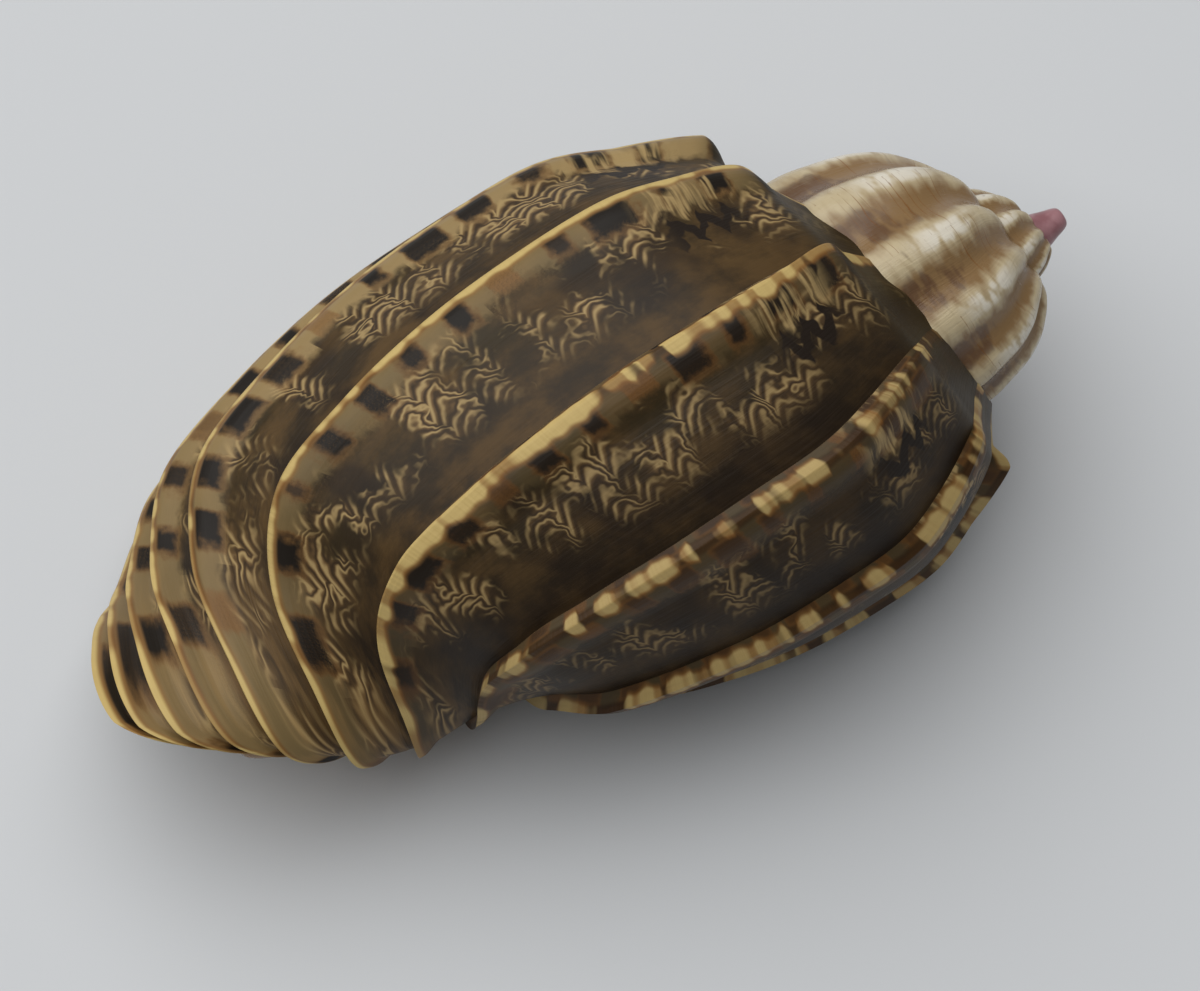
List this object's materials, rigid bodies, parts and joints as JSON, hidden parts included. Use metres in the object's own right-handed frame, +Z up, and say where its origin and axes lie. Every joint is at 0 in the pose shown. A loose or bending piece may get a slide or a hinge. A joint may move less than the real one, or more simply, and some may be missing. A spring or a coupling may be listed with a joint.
{
  "type": "harp shell",
  "caption": "Dextral sea snail shell with a swollen ribbed last whorl, a short stepped spire, a wide aperture and a notched front end.",
  "frame": {"origin": "on the surface the shell rests on, below the middle of its bounding box", "axes": "+X along the shell toward the apex, +Y toward the outer lip, +Z up"},
  "size_m": [0.0782, 0.0432, 0.0348],
  "materials": {
    "shell": "glossy natural shell: purplish brown between ribs, cream ribs with dark brown squares and fine wavy lines"
  },
  "bodies": {
    "root": {"shell": "shell"}
  },
  "joints": []
}
